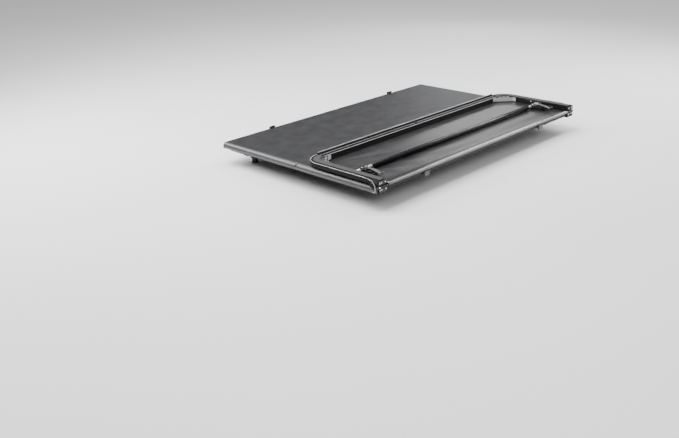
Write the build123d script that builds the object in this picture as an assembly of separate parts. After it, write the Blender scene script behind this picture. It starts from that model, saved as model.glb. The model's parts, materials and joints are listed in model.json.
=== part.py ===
"""Soft tri-fold tonneau cover for a pickup bed, with its rear panel folded over the middle one.

Frame: +X to the passenger side, +Y to the cab, +Z up, origin at the middle of the
bulkhead seal's underside, on the plane where the cover rests on the bed. Millimetres.
Stations along the cover are distances back from its front edge, given to at().
Every panel is drawn lying flat. The rear panel and its clamps are then turned half a
turn about the rear hinge, which is how the cover rests.
"""
from build123d import *
import math
import os

# overall cover
HALF_WIDTH = 860.0
LENGTH = 1720.0
SEAL_HEIGHT = 4.0
FRAME_TOP = 34.0
VINYL = 1.5
WALL = 1.8
RAIL_WIDTH = 50.0
EDGE_ROUND = 21.0
BOW_WIDTH = 36.0

# stations of the panels, from the front edge
FRONT_EDGE_Y = 30.0
HEADER_WIDTH = 60.0
FRONT_PIVOT = 566.0
RAIL_PAST_PIVOT = 8.0
LINK_SPACING = 76.0
FRONT_FRAME_END = FRONT_PIVOT + RAIL_PAST_PIVOT
MIDDLE_PIVOT = FRONT_PIVOT + LINK_SPACING
MIDDLE_FRAME_START = MIDDLE_PIVOT - RAIL_PAST_PIVOT
REAR_AXIS = 1190.0
REAR_HALF_GAP = 10.0
MIDDLE_FRAME_END = REAR_AXIS - REAR_HALF_GAP
REAR_FRAME_START = REAR_AXIS + REAR_HALF_GAP
TAIL_RADIUS = 100.0
TAIL_INNER = LENGTH - RAIL_WIDTH
INNER_X = HALF_WIDTH - RAIL_WIDTH
HINGE_VINYL_GAP = 10.0
TAIL_LIP_DROP = 8.0
RIB_GROOVES = 4
RIB_GROOVE = 3.4
RIB_SPACING = 6.4

# corner braces
BRACE_REACH = 83.0
BRACE_THICKNESS = 2.5
BRACE_LOW = 5.0
BRACE_HEIGHT = 24.0
BRACE_FOOT_HALF = 18.0
BRACE_FLANGE = 16.0
CORNER_WEB = 4.0
FLANGE_SCREW_SPACING = 26.0
SCREW_RADIUS = 2.0
SCREW_HEAD_RADIUS = 4.2
SCREW_HEAD = 2.4

# hinges
LINK_PIVOT_Z = 22.0
LINK_HALF_HEIGHT = 8.0
HINGE_PIN_RADIUS = 4.0
EAR_LENGTH = 34.0
RUNNING_GAP = 0.05
SIDE_GAP = 0.2
REAR_AXIS_Z = FRAME_TOP + VINYL + 1.0
KNUCKLE_RADIUS = 5.5
KNUCKLE_SPAN = 56.0
KNUCKLE_WIDTH = 12.0
TONGUE_GAP = 0.5
CAP_THICKNESS = 4.0
CAP_LOW = 5.0
CAP_HIGH = 33.0
REAR_PIN_RADIUS = 2.45

# rear clamps on the support tube
TUBE_STATION = 1402.0
TUBE_Z = 18.0
TUBE_RADIUS = 14.0
TUBE_HALF_LENGTH = 690.0
TRUNNION_RADIUS = 9.0
SADDLE_HALF = 26.0
SADDLE_TAIL = 68.0
SADDLE_THICKNESS = 6.0
SADDLE_LOW = 5.0
SADDLE_HIGH = 31.0
ARM_X = INNER_X - 64
ARM_HALF_WIDTH = 24.0
ARM_LENGTH = 78.0
HOOK_HALF_WIDTH = 12.0
HOOK_REACH = 98.0
LEVER_PIVOT_REACH = 38.0
LEVER_PIVOT_RISE = 13.6
LEVER_LENGTH = 98.0
LEVER_BELLY = 8.0
LEVER_THICKNESS = 4.4
LEVER_HALF_WIDTH = 11.0
LEVER_HUB_RADIUS = 4.3
LEVER_HUB_HALF = 15.0
LEVER_PIN_RADIUS = 2.5
ARM_HALF_HEIGHT = 9.0
HOOK_HALF_HEIGHT = 5.0
HOOK_STEM_START = 34.0
EAR_WIDTH = 6.0

# front clamps under the side rails
FRONT_CLAMP_STATION = 120.0
CLAMP_HALF_LENGTH = 20.0
CLAMP_BOLT_X = INNER_X - 68
CLAMP_FOOT_Z = -62.0
CLAMP_BOLT_RADIUS = 4.0
JAW_TOP_Z = -22.0

# storage straps
STRAP_X = 510.0
STRAP_HALF_WIDTH = 12.5
STRAP_THICKNESS = 1.4
BUCKLE_HALF_WIDTH = 19.0
BUCKLE_WALL = 2.2
BUCKLE_DEPTH = 9.6
BUCKLE_TOP = 28.0
BUCKLE_HEIGHT = 26.0
CLIP_BASE_HALF = 20.0
CLIP_TOP = 52.0

SIDES = {"left": -1, "right": 1}
written = []


def at(station):
    """The Y of a station measured back from the cover's front edge."""
    return FRONT_EDGE_Y - station


def block(x0, x1, s0, s1, z0, z1):
    """A box between two X values, two stations and two heights."""
    size = (abs(x1 - x0), abs(s1 - s0), abs(z1 - z0))
    middle = ((x0 + x1) / 2, at((s0 + s1) / 2), (z0 + z1) / 2)
    return Pos(*middle) * Box(*size)


def rod(radius, x0, x1, station, z):
    """A round bar along X."""
    turned = Rot(0, 90, 0) * Cylinder(radius, abs(x1 - x0))
    return Pos((x0 + x1) / 2, at(station), z) * turned


def post(radius, x, station, z0, z1):
    """A round bar along Z."""
    return Pos(x, at(station), (z0 + z1) / 2) * Cylinder(radius, abs(z1 - z0))


def tube_section(x0, x1, s0, s1, z0=SEAL_HEIGHT, z1=FRAME_TOP, along="y"):
    """A hollow rectangular extrusion, open at both ends of its length."""
    shell = block(x0, x1, s0, s1, z0, z1)
    inside = [min(x0, x1), max(x0, x1), min(s0, s1), max(s0, s1)]
    if along == "y":
        inside[0] += WALL
        inside[1] -= WALL
        inside[2] -= 1
        inside[3] += 1
    else:
        inside[0] -= 1
        inside[1] += 1
        inside[2] += WALL
        inside[3] -= WALL
    return shell - block(*inside, z0 + WALL, z1 - WALL)


def rounded_rail(x0, x1, s0, s1, outer_x=None):
    """A hollow extrusion with its outer top edge rounded: the one at outer_x along the
    cover, or else the one at s1 across it."""
    way = Axis.X if outer_x is None else Axis.Y

    def solid(inset, stretch, radius):
        low_x, high_x = sorted((x0, x1))
        if outer_x is None:
            shape = block(low_x - stretch, high_x + stretch, s0 + inset, s1 - inset,
                          SEAL_HEIGHT + inset, FRAME_TOP - inset)
        else:
            shape = block(low_x + inset, high_x - inset, s0 - stretch, s1 + stretch,
                          SEAL_HEIGHT + inset, FRAME_TOP - inset)
        top = shape.edges().filter_by(way).group_by(Axis.Z)[-1]
        if outer_x is None:
            edge = top.sort_by(Axis.Y)[0]
        else:
            edge = top.sort_by(lambda e: abs(e.center().X))[-1]
        return fillet(edge, radius)

    return solid(0, 0, EDGE_ROUND) - solid(WALL, 1, EDGE_ROUND - WALL)


def edge_cutter(side, s0, s1):
    """What the rounded outer edge leaves away from a square end, along the cover's side."""
    inner = HALF_WIDTH - EDGE_ROUND
    low = FRAME_TOP - EDGE_ROUND
    corner = block(side * inner, side * (HALF_WIDTH + 1), s0 - 1, s1 + 1, low, FRAME_TOP + 1)
    arc = Rot(90, 0, 0) * Cylinder(EDGE_ROUND, abs(s1 - s0) + 4)
    return corner - Pos(side * inner, at((s0 + s1) / 2), low) * arc


def both_sides(make):
    """The same piece on the left and on the right, as one group."""
    return [make(side) for side in SIDES.values()]


def fold_rear(shape):
    """Turns a piece of the flat rear panel half a turn about the rear hinge."""
    axis = Axis((0, at(REAR_AXIS), REAR_AXIS_Z), (1, 0, 0))
    return shape.rotate(axis, 180)


def write(node, shapes):
    """Writes one node, from one solid or a group of separate ones."""
    if not isinstance(shapes, list):
        shapes = [shapes]
    solids = [solid for shape in shapes for solid in shape.solids()]
    whole = solids[0] if len(solids) == 1 else Compound(children=solids)
    whole.label = node
    export_step(whole, f"parts/{node}.step")
    written.append(node)


def write_folded(node, shapes):
    """Writes one node of the rear panel in its folded place."""
    if not isinstance(shapes, list):
        shapes = [shapes]
    write(node, [fold_rear(shape) for shape in shapes])


# ---------------------------------------------------------------- rails and bows
def side_rail(side, s0, s1):
    """A side rail: a hollow extrusion with a broad rounded outer edge under the vinyl."""
    return rounded_rail(side * INNER_X, side * HALF_WIDTH, s0, s1, side * HALF_WIDTH)


def bow(half_length, s0, s1, z0=12.0):
    """A cross bow between the side rails, just under the vinyl."""
    return tube_section(-half_length, half_length, s0, s1, z0, FRAME_TOP, along="x")


def vinyl_plate(s0, s1, half_width=HALF_WIDTH - EDGE_ROUND):
    """The vinyl stretched over a panel, as a plain thin sheet."""
    return block(-half_width, half_width, s0, s1, FRAME_TOP, FRAME_TOP + VINYL)


def side_seal(side, s0, s1):
    """The rubber strip under a side rail that rests on the bed cap, with a hollow bulb."""
    x0 = side * (HALF_WIDTH - 48)
    x1 = side * (HALF_WIDTH - 14)
    strip = block(x0, x1, s0, s1, 0, SEAL_HEIGHT)
    slot = block(x0 + side * 4, x1 - side * 4, s0 - 1, s1 + 1, 1.2, 2.8)
    return strip - slot


# ---------------------------------------------------------------- front panel, the root
def header_rail():
    """The cab-side rail, full width, with a tongue that the side rails butt against."""
    rail = tube_section(-HALF_WIDTH, HALF_WIDTH, 0, HEADER_WIDTH, along="x")
    lip = block(-HALF_WIDTH, HALF_WIDTH, 0, 3, 0.8, SEAL_HEIGHT)
    rail += lip
    for side in SIDES.values():
        rail -= edge_cutter(side, 0, HEADER_WIDTH)
    return rail


def header_corner_bracket(side):
    """An angle plate inside a front corner, screwed under the header and the side rail."""
    leg_length = 36.0
    x0 = side * (INNER_X - leg_length)
    x1 = side * INNER_X
    far = HEADER_WIDTH + leg_length
    web = block(x0, x1, HEADER_WIDTH, HEADER_WIDTH + 3, 8, 30)
    leg = block(x1 - side * 3, x1, HEADER_WIDTH, far, 8, 30)
    gusset = block(x0, x1, HEADER_WIDTH, far, 17, 20)
    cut = Pos(x0, at(far), 18) * Rot(0, 0, 45) * Box(leg_length * 1.3, leg_length * 1.3, 10)
    return web + leg + (gusset - cut)


def hinge_ear(side, pivot_station):
    """A plate on a side rail's inner face that holds a link pin."""
    x0 = side * (INNER_X - 5)
    x1 = side * INNER_X
    plate = block(x0, x1, pivot_station - 8, pivot_station + 8, 7, 31)
    away = 1 if pivot_station == MIDDLE_PIVOT else -1
    far = block(x0, x1, pivot_station, pivot_station + away * EAR_LENGTH, 7, 31)
    hole = rod(HINGE_PIN_RADIUS, x0 - side, x1 + side, pivot_station, LINK_PIVOT_Z)
    return plate + far - hole


def link_pin(side, pivot_station):
    """A shouldered pin through a link plate into its ear."""
    head = rod(7, side * (INNER_X - 14), side * (INNER_X - 11.2), pivot_station, LINK_PIVOT_Z)
    shank = rod(HINGE_PIN_RADIUS, side * (INNER_X - 12), side * INNER_X,
                pivot_station, LINK_PIVOT_Z)
    return head + shank


def link_plate(side):
    """The flat link between the two hidden pivots of the front hinge."""
    x0 = side * (INNER_X - 5 - SIDE_GAP)
    x1 = side * (INNER_X - 11)
    low = LINK_PIVOT_Z - LINK_HALF_HEIGHT
    high = LINK_PIVOT_Z + LINK_HALF_HEIGHT
    plate = block(x0, x1, FRONT_PIVOT, MIDDLE_PIVOT, low, high)
    for pivot in (FRONT_PIVOT, MIDDLE_PIVOT):
        plate += rod(LINK_HALF_HEIGHT, x0, x1, pivot, LINK_PIVOT_Z)
    for pivot in (FRONT_PIVOT, MIDDLE_PIVOT):
        plate -= rod(HINGE_PIN_RADIUS + RUNNING_GAP, x0 + side, x1 - side, pivot, LINK_PIVOT_Z)
    return plate


def clamp_bracket(side):
    """The fixed C of a front clamp: a top plate under the frame, a web and a foot."""
    s0 = FRONT_CLAMP_STATION - CLAMP_HALF_LENGTH
    s1 = FRONT_CLAMP_STATION + CLAMP_HALF_LENGTH
    web_x = side * (CLAMP_BOLT_X - 20)
    web_in = side * (CLAMP_BOLT_X - 14)
    top = block(web_x, side * INNER_X, s0, s1, 5, 10)
    tab = block(side * (INNER_X - 4), side * INNER_X, s0, s1, 5, 28)
    web = block(web_x, web_in, s0, s1, CLAMP_FOOT_Z, 10)
    foot = block(web_x, side * (CLAMP_BOLT_X + 14), s0, s1, CLAMP_FOOT_Z, CLAMP_FOOT_Z + 6)
    hole = post(CLAMP_BOLT_RADIUS + 0.08, side * CLAMP_BOLT_X, FRONT_CLAMP_STATION,
                CLAMP_FOOT_Z - 1, 12)
    return top + tab + web + foot - hole


def clamp_jaw(side):
    """The moving jaw, threaded on the clamp bolt, with a ribbed lip under the bed flange."""
    s0 = FRONT_CLAMP_STATION - CLAMP_HALF_LENGTH + 2
    s1 = FRONT_CLAMP_STATION + CLAMP_HALF_LENGTH - 2
    nut = block(side * (CLAMP_BOLT_X - 13), side * (CLAMP_BOLT_X + 13), s0, s1,
                JAW_TOP_Z - 24, JAW_TOP_Z)
    lip = block(side * (CLAMP_BOLT_X + 12), side * (INNER_X - 6), s0, s1,
                JAW_TOP_Z - 11, JAW_TOP_Z)
    jaw = nut + lip
    tooth_x = INNER_X - 12
    for _ in range(4):
        jaw -= block(side * tooth_x, side * (tooth_x - 3), s0 - 1, s1 + 1,
                     JAW_TOP_Z - 1.5, JAW_TOP_Z + 1)
        tooth_x -= 6.5
    bore = post(CLAMP_BOLT_RADIUS + 0.06, side * CLAMP_BOLT_X, FRONT_CLAMP_STATION,
                JAW_TOP_Z - 25, JAW_TOP_Z + 1)
    return jaw - bore


def clamp_bolt(side):
    """The long bolt of a front clamp, with a collar under the foot."""
    x = side * CLAMP_BOLT_X
    shank = post(CLAMP_BOLT_RADIUS, x, FRONT_CLAMP_STATION, CLAMP_FOOT_Z - 22, 9)
    collar = post(8, x, FRONT_CLAMP_STATION, CLAMP_FOOT_Z - 4, CLAMP_FOOT_Z - SIDE_GAP)
    return shank + collar


def clamp_knob(side):
    """The fluted hand knob pressed on the bolt's lower end."""
    x = side * CLAMP_BOLT_X
    top = CLAMP_FOOT_Z - 4.2
    knob = post(17, x, FRONT_CLAMP_STATION, top - 20, top)
    knob -= post(CLAMP_BOLT_RADIUS, x, FRONT_CLAMP_STATION, top - 18, top + 1)
    for turn in range(8):
        angle = math.radians(45 * turn)
        flute = Pos(x + 20 * math.cos(angle), at(FRONT_CLAMP_STATION) + 20 * math.sin(angle),
                    top - 10) * Cylinder(5, 30)
        knob -= flute
    return knob


def strap_clip(side):
    """A side-release buckle half standing on the front edge, on its strap plate."""
    x = side * STRAP_X
    top = FRAME_TOP + VINYL
    base = block(x - CLIP_BASE_HALF, x + CLIP_BASE_HALF, 2, 26, top, top + BUCKLE_WALL)
    half = BUCKLE_HALF_WIDTH
    body = block(x - half, x + half, 5, 5 + BUCKLE_DEPTH + 2, top + BUCKLE_WALL, CLIP_TOP)
    mouth = block(x - half + 6, x + half - 6, 5 + BUCKLE_WALL, 5 + BUCKLE_DEPTH + 2 - BUCKLE_WALL,
                  top + 9, CLIP_TOP + 1)
    return base + body - mouth


def build_front_panel():
    write("header_rail", header_rail())
    for name, side in SIDES.items():
        write(f"front_side_rail_{name}", side_rail(side, HEADER_WIDTH, FRONT_FRAME_END))
        write(f"front_clamp_jaw_{name}", clamp_jaw(side))
        write(f"front_clamp_bolt_{name}", clamp_bolt(side))
        write(f"front_clamp_knob_{name}", clamp_knob(side))
    write("front_clamp_brackets", both_sides(clamp_bracket))
    centre = (HEADER_WIDTH + FRONT_FRAME_END) / 2
    write("front_centre_bow", bow(INNER_X, centre - BOW_WIDTH / 2, centre + BOW_WIDTH / 2))
    bow_end = FRONT_PIVOT - EAR_LENGTH
    write("front_rear_bow", bow(INNER_X, bow_end - BOW_WIDTH, bow_end))
    write("front_vinyl", vinyl_plate(0, FRONT_PIVOT - HINGE_VINYL_GAP))
    seal = block(-INNER_X, INNER_X, 10, 50, 0, SEAL_HEIGHT)
    write("bulkhead_seal", seal)
    write("front_side_seals", both_sides(lambda side: side_seal(side, 62, FRONT_FRAME_END)))
    write("header_corner_brackets", both_sides(header_corner_bracket))
    write("front_hinge_ears", both_sides(lambda side: hinge_ear(side, FRONT_PIVOT)))
    write("front_hinge_pins", both_sides(lambda side: link_pin(side, FRONT_PIVOT)))
    write("strap_clips", both_sides(strap_clip))


# ---------------------------------------------------------------- front hinge links
def build_hinge_links():
    write("hinge_links", both_sides(link_plate))
    middle = FRONT_PIVOT + LINK_SPACING / 2
    spacer = tube_section(-(INNER_X - 11), INNER_X - 11, middle - 20, middle + 20,
                          LINK_PIVOT_Z - LINK_HALF_HEIGHT, FRAME_TOP, along="x")
    write("hinge_spacer_bar", spacer)
    ends = both_sides(lambda side: tube_section(
        side * (INNER_X - 5 - SIDE_GAP), side * HALF_WIDTH, middle - 20, middle + 20,
        SEAL_HEIGHT + 6, FRAME_TOP, along="x") - edge_cutter(side, middle - 20, middle + 20))
    write("hinge_spacer_ends", ends)
    write("hinge_vinyl", vinyl_plate(middle - 24, middle + 24))


# ---------------------------------------------------------------- middle panel
def knuckle(side, x0, x1):
    """One knuckle of the rear hinge, with the wedge that joins it to its end block."""
    x0 *= side
    x1 *= side
    barrel = rod(KNUCKLE_RADIUS, x0, x1, REAR_AXIS, REAR_AXIS_Z)
    wedge = block(x0, x1, MIDDLE_FRAME_END + 3, REAR_AXIS, REAR_AXIS_Z - KNUCKLE_RADIUS,
                  REAR_AXIS_Z)
    return barrel + wedge


def hinge_cap(side):
    """The plate of an end casting over the end of a side rail."""
    return block(side * (HALF_WIDTH - 60), side * (HALF_WIDTH - 4), MIDDLE_FRAME_END,
                 MIDDLE_FRAME_END + CAP_THICKNESS, CAP_LOW, CAP_HIGH)


def middle_hinge_block(side):
    """The end casting of a middle side rail, with the two outer hinge knuckles."""
    first = HALF_WIDTH - KNUCKLE_SPAN
    last = HALF_WIDTH - 8
    casting = hinge_cap(side) + knuckle(side, first, first + KNUCKLE_WIDTH)
    casting += knuckle(side, last - KNUCKLE_WIDTH, last)
    hole = rod(REAR_PIN_RADIUS + RUNNING_GAP, side * (HALF_WIDTH - 61), side * HALF_WIDTH,
               REAR_AXIS, REAR_AXIS_Z)
    return casting - hole


def rear_hinge_block(side):
    """The end casting of a rear side rail, with the single middle knuckle, lying flat."""
    first = HALF_WIDTH - KNUCKLE_SPAN + KNUCKLE_WIDTH + TONGUE_GAP
    last = HALF_WIDTH - 8 - KNUCKLE_WIDTH - TONGUE_GAP
    hole = rod(REAR_PIN_RADIUS + RUNNING_GAP, side * (HALF_WIDTH - 61), side * HALF_WIDTH,
               REAR_AXIS, REAR_AXIS_Z)
    piece = hinge_cap(side) + knuckle(side, first, last) - hole
    return piece.mirror(Plane.XZ.offset(-at(REAR_AXIS)))


def rear_pin(side):
    """The pin of the rear hinge, held in the outer knuckles."""
    shank = rod(REAR_PIN_RADIUS, side * (HALF_WIDTH - 58), side * (HALF_WIDTH - 4),
                REAR_AXIS, REAR_AXIS_Z)
    head = rod(4.4, side * (HALF_WIDTH - 7.5), side * (HALF_WIDTH - 4), REAR_AXIS, REAR_AXIS_Z)
    return shank + head


def strap(side):
    """The short webbing loop on the rear face of the middle panel's rear bow."""
    x = side * STRAP_X
    return block(x - STRAP_HALF_WIDTH, x + STRAP_HALF_WIDTH, MIDDLE_FRAME_END,
                 MIDDLE_FRAME_END + STRAP_THICKNESS, BUCKLE_TOP - 10, FRAME_TOP - 2)


def strap_buckle(side):
    """The side-release buckle on the webbing loop, with its mouth downwards."""
    x = side * STRAP_X
    near = MIDDLE_FRAME_END + STRAP_THICKNESS
    low = BUCKLE_TOP - BUCKLE_HEIGHT
    half = BUCKLE_HALF_WIDTH
    body = block(x - half, x + half, near, near + BUCKLE_DEPTH, low, BUCKLE_TOP)
    mouth = block(x - half + 6, x + half - 6, near + BUCKLE_WALL,
                  near + BUCKLE_DEPTH - BUCKLE_WALL, low - 1, low + 16)
    return body - mouth


def build_middle_panel():
    for name, side in SIDES.items():
        write(f"middle_side_rail_{name}", side_rail(side, MIDDLE_FRAME_START, MIDDLE_FRAME_END))
    bow_start = MIDDLE_PIVOT + EAR_LENGTH
    write("middle_front_bow", bow(INNER_X, bow_start, bow_start + BOW_WIDTH))
    write("middle_rear_bow", bow(INNER_X, MIDDLE_FRAME_END - BOW_WIDTH, MIDDLE_FRAME_END))
    write("middle_vinyl", vinyl_plate(MIDDLE_PIVOT + HINGE_VINYL_GAP, MIDDLE_FRAME_END))
    write("middle_side_seals", both_sides(
        lambda side: side_seal(side, MIDDLE_FRAME_START, MIDDLE_FRAME_END)))
    write("middle_hinge_ears", both_sides(lambda side: hinge_ear(side, MIDDLE_PIVOT)))
    write("middle_hinge_pins", both_sides(lambda side: link_pin(side, MIDDLE_PIVOT)))
    write("middle_hinge_blocks", both_sides(middle_hinge_block))
    write("rear_hinge_pins", both_sides(rear_pin))
    write("storage_straps", both_sides(strap))
    write("strap_buckles", both_sides(strap_buckle))


# ---------------------------------------------------------------- rear panel
def tail_rail():
    """The tailgate-side extrusion: hollow, its underside ribbed between two grooves."""
    half = HALF_WIDTH - TAIL_RADIUS
    s0 = TAIL_INNER
    rail = rounded_rail(-half, half, s0, LENGTH)
    rail += block(-half, half, s0 + 3, LENGTH - 3, SEAL_HEIGHT, SEAL_HEIGHT + 5)
    rail -= block(-half - 1, half + 1, LENGTH - 17, LENGTH - 9, SEAL_HEIGHT - 1, SEAL_HEIGHT + 1.2)
    rib = s0 + 8
    for _ in range(RIB_GROOVES):
        rail -= block(-half - 1, half + 1, rib, rib + RIB_GROOVE, SEAL_HEIGHT - 1,
                      SEAL_HEIGHT + 2.6)
        rib += RIB_SPACING
    for side in SIDES.values():
        for spot, way in foot_screw_places(side):
            rail -= brace_hole(spot, way)
    return rail


def tail_corner(side):
    """The rounded corner casting between a side rail and the tail rail, with a web that the
    brace is screwed to."""
    x = side * (HALF_WIDTH - TAIL_RADIUS)
    inner_radius = TAIL_RADIUS - RAIL_WIDTH
    middle = (x, at(LENGTH - TAIL_RADIUS))
    height = FRAME_TOP - SEAL_HEIGHT
    disc = Cylinder(TAIL_RADIUS, height)
    disc = fillet(disc.edges().group_by(Axis.Z)[-1], EDGE_ROUND)
    ring = disc - Cylinder(inner_radius, height + 2)
    groove = Cylinder(TAIL_RADIUS - 9, 3) - Cylinder(TAIL_RADIUS - 17, 4)
    ring -= Pos(0, 0, -height / 2) * groove
    web_z = BRACE_LOW + BRACE_THICKNESS + CORNER_WEB / 2 - SEAL_HEIGHT - height / 2
    past_strip = brace_offset() + BRACE_THICKNESS / 2
    beyond = Rot(0, 0, side * 45) * Pos(0, -past_strip - TAIL_RADIUS, 0) * Box(
        4 * TAIL_RADIUS, 2 * TAIL_RADIUS, CORNER_WEB)
    ring += Pos(0, 0, web_z) * (Cylinder(inner_radius + 1, CORNER_WEB) & beyond)
    quarter = Pos(side * TAIL_RADIUS / 2, -TAIL_RADIUS / 2, 0) * Box(TAIL_RADIUS, TAIL_RADIUS,
                                                                     height + 2)
    piece = Pos(middle[0], middle[1], SEAL_HEIGHT + height / 2) * (ring & quarter)
    for spot, way in flange_screw_places(side):
        piece -= brace_hole(spot, way)
    return piece


def brace_offset():
    """How far the brace's line lies beyond the centre of a tail corner's rounding."""
    return (2 * (TAIL_RADIUS - RAIL_WIDTH) - BRACE_REACH) / math.sqrt(2)


def foot_screw_places(side):
    """Where a brace's feet are screwed to the rails: the foot's seat and the way in."""
    middle = BRACE_LOW + BRACE_HEIGHT / 2
    on_side = Vector(side * INNER_X, at(TAIL_INNER - BRACE_REACH - 8), middle)
    on_tail = Vector(side * (INNER_X - BRACE_REACH - 8), at(TAIL_INNER), middle)
    return [(on_side, Vector(side, 0, 0)), (on_tail, Vector(0, -1, 0))]


def flange_screw_places(side):
    """Where a brace's flange is screwed to the corner's web: the web's face and the way in."""
    x = side * (HALF_WIDTH - TAIL_RADIUS)
    y = at(LENGTH - TAIL_RADIUS)
    out = brace_offset() + BRACE_FLANGE * 0.6
    places = []
    for step in (-1, 0, 1):
        along = step * FLANGE_SCREW_SPACING
        places.append((Vector(x + side * (out + along) / math.sqrt(2),
                              y - (out - along) / math.sqrt(2),
                              BRACE_LOW + BRACE_THICKNESS), Vector(0, 0, 1)))
    return places


def brace_hole(spot, way):
    """The hole that a brace screw goes through."""
    return Plane(spot - way * 5, z_dir=way) * Cylinder(SCREW_RADIUS, 30)


def brace_screw(spot, way):
    """A pan-head screw through the brace into what is behind it."""
    seat = spot - way * BRACE_THICKNESS
    head = Plane(seat - way * SCREW_HEAD / 2, z_dir=way) * Cylinder(SCREW_HEAD_RADIUS, SCREW_HEAD)
    recess = Plane(seat - way * SCREW_HEAD, z_dir=way) * (Box(5.2, 1.2, 2) + Box(1.2, 5.2, 2))
    shank = Plane(seat + way * 4, z_dir=way) * Cylinder(SCREW_RADIUS, 8)
    return head - recess + shank


def corner_brace(side):
    """The bright angle plate across a tail corner: a standing strip, a flange toward the
    corner and a foot at each end."""
    x = side * (HALF_WIDTH - TAIL_RADIUS)
    y = at(LENGTH - TAIL_RADIUS)
    half = BRACE_REACH / math.sqrt(2) - 2
    middle = BRACE_LOW + BRACE_HEIGHT / 2
    turn = Rot(0, 0, side * 45)
    strip = turn * Pos(0, -brace_offset(), 0) * Box(2 * half, BRACE_THICKNESS, BRACE_HEIGHT)
    flange = turn * Pos(0, -brace_offset() - BRACE_FLANGE / 2,
                        (BRACE_THICKNESS - BRACE_HEIGHT) / 2) * Box(
        2 * (FLANGE_SCREW_SPACING + 9), BRACE_FLANGE, BRACE_THICKNESS)
    brace = Pos(x, y, middle) * (strip + flange)
    side_foot = TAIL_INNER - BRACE_REACH
    tail_foot = INNER_X - BRACE_REACH
    top = BRACE_LOW + BRACE_HEIGHT
    brace += block(side * (INNER_X - BRACE_THICKNESS), side * INNER_X,
                   side_foot - BRACE_FOOT_HALF, side_foot + 3, BRACE_LOW, top)
    brace += block(side * (tail_foot - BRACE_FOOT_HALF), side * (tail_foot + 3),
                   TAIL_INNER - BRACE_THICKNESS, TAIL_INNER, BRACE_LOW, top)
    for spot, way in foot_screw_places(side) + flange_screw_places(side):
        brace -= brace_hole(spot, way)
    return brace


def tube_saddle(side):
    """The bracket on a side rail's inner face that carries the support tube's end, with a
    tapered tail toward the tail corner."""
    x0 = side * (INNER_X - SADDLE_THICKNESS)
    x1 = side * INNER_X
    near = TUBE_STATION - SADDLE_HALF
    far = TUBE_STATION + SADDLE_HALF
    plate = block(x0, x1, near, far, SADDLE_LOW, SADDLE_HIGH)
    outline = Plane.YZ * make_face(Polyline(
        (at(far) + 1, SADDLE_LOW), (at(far + SADDLE_TAIL), SADDLE_LOW),
        (at(far + SADDLE_TAIL), SADDLE_LOW + 4), (at(far + SADDLE_TAIL / 2), SADDLE_LOW + 9),
        (at(far) + 1, SADDLE_HIGH - 4), close=True))
    plate += Pos((x0 + x1) / 2, 0, 0) * extrude(outline, amount=SADDLE_THICKNESS / 2, both=True)
    hole = rod(TRUNNION_RADIUS, x0 - side, x1 + side, TUBE_STATION, TUBE_Z)
    return plate - hole


def support_tube():
    """The round cross tube, hollow between its two solid trunnion ends."""
    half = TUBE_HALF_LENGTH
    tube = rod(TUBE_RADIUS, -half, half, TUBE_STATION, TUBE_Z)
    return tube - rod(TUBE_RADIUS - WALL, -half - 1, half + 1, TUBE_STATION, TUBE_Z)


def tube_trunnion(side):
    """The turned end of the support tube, on which a clamp arm swings."""
    plug = rod(TUBE_RADIUS - WALL, side * (TUBE_HALF_LENGTH - 30), side * TUBE_HALF_LENGTH,
               TUBE_STATION, TUBE_Z)
    axle = rod(TRUNNION_RADIUS, side * (TUBE_HALF_LENGTH - 1), side * INNER_X,
               TUBE_STATION, TUBE_Z)
    return plug + axle


def centre_plug():
    """The round plug in the middle of the tail rail's underside."""
    s = LENGTH - RAIL_WIDTH / 2 + 2
    return post(9, 0, s, SEAL_HEIGHT - 2.5, SEAL_HEIGHT) + post(5, 0, s, SEAL_HEIGHT - 6,
                                                                SEAL_HEIGHT - 2.5)


def build_rear_panel():
    tail = LENGTH - TAIL_RADIUS
    for name, side in SIDES.items():
        rail = side_rail(side, REAR_FRAME_START, tail)
        for spot, way in foot_screw_places(side):
            rail -= brace_hole(spot, way)
        write_folded(f"rear_side_rail_{name}", rail)
        write_folded(f"tail_corner_{name}", tail_corner(side))
        write_folded(f"corner_brace_{name}", corner_brace(side))
    write_folded("tail_rail", tail_rail())
    write_folded("rear_hinge_bow", block(-INNER_X, INNER_X, REAR_FRAME_START,
                                         REAR_FRAME_START + 14, FRAME_TOP - 4, FRAME_TOP))
    write_folded("support_tube", support_tube())
    write_folded("tube_trunnions", both_sides(tube_trunnion))
    write_folded("tube_saddles", both_sides(tube_saddle))
    plate = vinyl_plate(REAR_FRAME_START, LENGTH - EDGE_ROUND)
    corners = plate.edges().filter_by(Axis.Z).sort_by(Axis.Y)[:2]
    write_folded("rear_vinyl", fillet(corners, TAIL_RADIUS - EDGE_ROUND))
    write_folded("rear_side_seals", both_sides(
        lambda side: side_seal(side, REAR_FRAME_START, tail)))
    write_folded("tail_seal", block(-(HALF_WIDTH - TAIL_RADIUS), HALF_WIDTH - TAIL_RADIUS,
                                    LENGTH - 7, LENGTH - 3, -TAIL_LIP_DROP, SEAL_HEIGHT))
    write_folded("rear_hinge_blocks", both_sides(rear_hinge_block))
    write_folded("tail_centre_plug", centre_plug())
    write_folded("brace_screws", [brace_screw(spot, way) for side in SIDES.values()
                                  for spot, way in foot_screw_places(side)
                                  + flange_screw_places(side)])


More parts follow.
